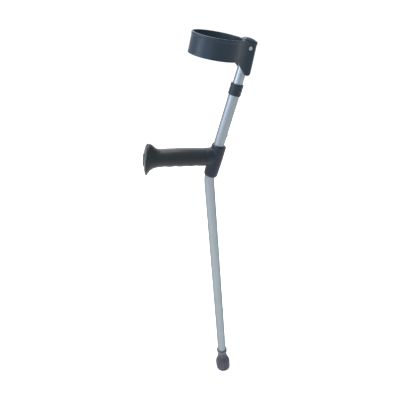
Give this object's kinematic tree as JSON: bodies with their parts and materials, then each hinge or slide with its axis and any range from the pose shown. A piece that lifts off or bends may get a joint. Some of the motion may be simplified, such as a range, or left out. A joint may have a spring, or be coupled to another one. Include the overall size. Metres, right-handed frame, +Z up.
{
  "type": "forearm crutch",
  "caption": "Adjustable forearm crutch: bent aluminium tube, side handle with flared end, closed swivelling arm cuff, telescopic leg with snap button and rubber ferrule.",
  "frame": {"origin": "centre of the ferrule's sole, on the floor", "axes": "+Z up along the lower shaft, the handle points to -X, the upper shaft leans to +X, Y is the width"},
  "size_m": [0.2759, 0.111, 1.0307],
  "materials": {
    "anodised_tube": "drawn and satin anodised, cool silver",
    "inner_tube": "drawn and bright anodised",
    "handle_plastic": "moulded black, fine satin",
    "grip_plastic": "soft black vinyl, satin with a highlight along the top",
    "collar_plastic": "moulded black",
    "cuff_plastic": "moulded black with a bluish sheen",
    "nylon": "natural nylon",
    "ferrule_rubber": "matt dark grey with fine ribs",
    "zinc_steel": "zinc plated",
    "spring_steel": "blued strip"
  },
  "bodies": {
    "shaft": {"main_tube": "anodised_tube", "handle_hub": "handle_plastic", "grip": "grip_plastic", "grip_end_plug": "handle_plastic", "hub_screw": "zinc_steel", "upper_collar": "collar_plastic", "leg_collar": "collar_plastic"},
    "leg": {"leg_tube": "inner_tube", "leg_guide_bush": "nylon", "leg_button_spring": "spring_steel", "ferrule": "ferrule_rubber", "ferrule_washer": "zinc_steel"},
    "leg_button": {"leg_snap_button": "zinc_steel"},
    "cuff_post": {"cuff_tube": "inner_tube", "cuff_guide_bush": "nylon", "cuff_button_spring": "spring_steel"},
    "cuff_button": {"cuff_snap_button": "zinc_steel"},
    "cuff": {"cuff_shell": "cuff_plastic", "cuff_cap": "cuff_plastic", "cuff_rivet": "zinc_steel", "pivot_sleeve": "nylon"}
  },
  "joints": [
    {"name": "leg_slide", "type": "slide", "parent": "shaft", "child": "leg", "axis": [0, 0, -1], "range_m": [0, 0.15]},
    {"name": "leg_button_press", "type": "slide", "parent": "leg", "child": "leg_button", "axis": [-1, 0, 0], "range_m": [0, 0.0032], "stiffness_N_per_m": 2500, "deforming": ["leg_button_spring"]},
    {"name": "cuff_slide", "type": "slide", "parent": "shaft", "child": "cuff_post", "axis": [0.342, 0, 0.9397], "range_m": [0, 0.075]},
    {"name": "cuff_button_press", "type": "slide", "parent": "cuff_post", "child": "cuff_button", "axis": [-0.9397, 0, 0.342], "range_m": [0, 0.0032], "stiffness_N_per_m": 2500, "deforming": ["cuff_button_spring"]},
    {"name": "cuff_tilt", "type": "hinge", "parent": "cuff_post", "child": "cuff", "pos_m": [0.10568, 0, 0.98537], "axis": [0, 1, 0], "range_deg": [0, 6]}
  ]
}
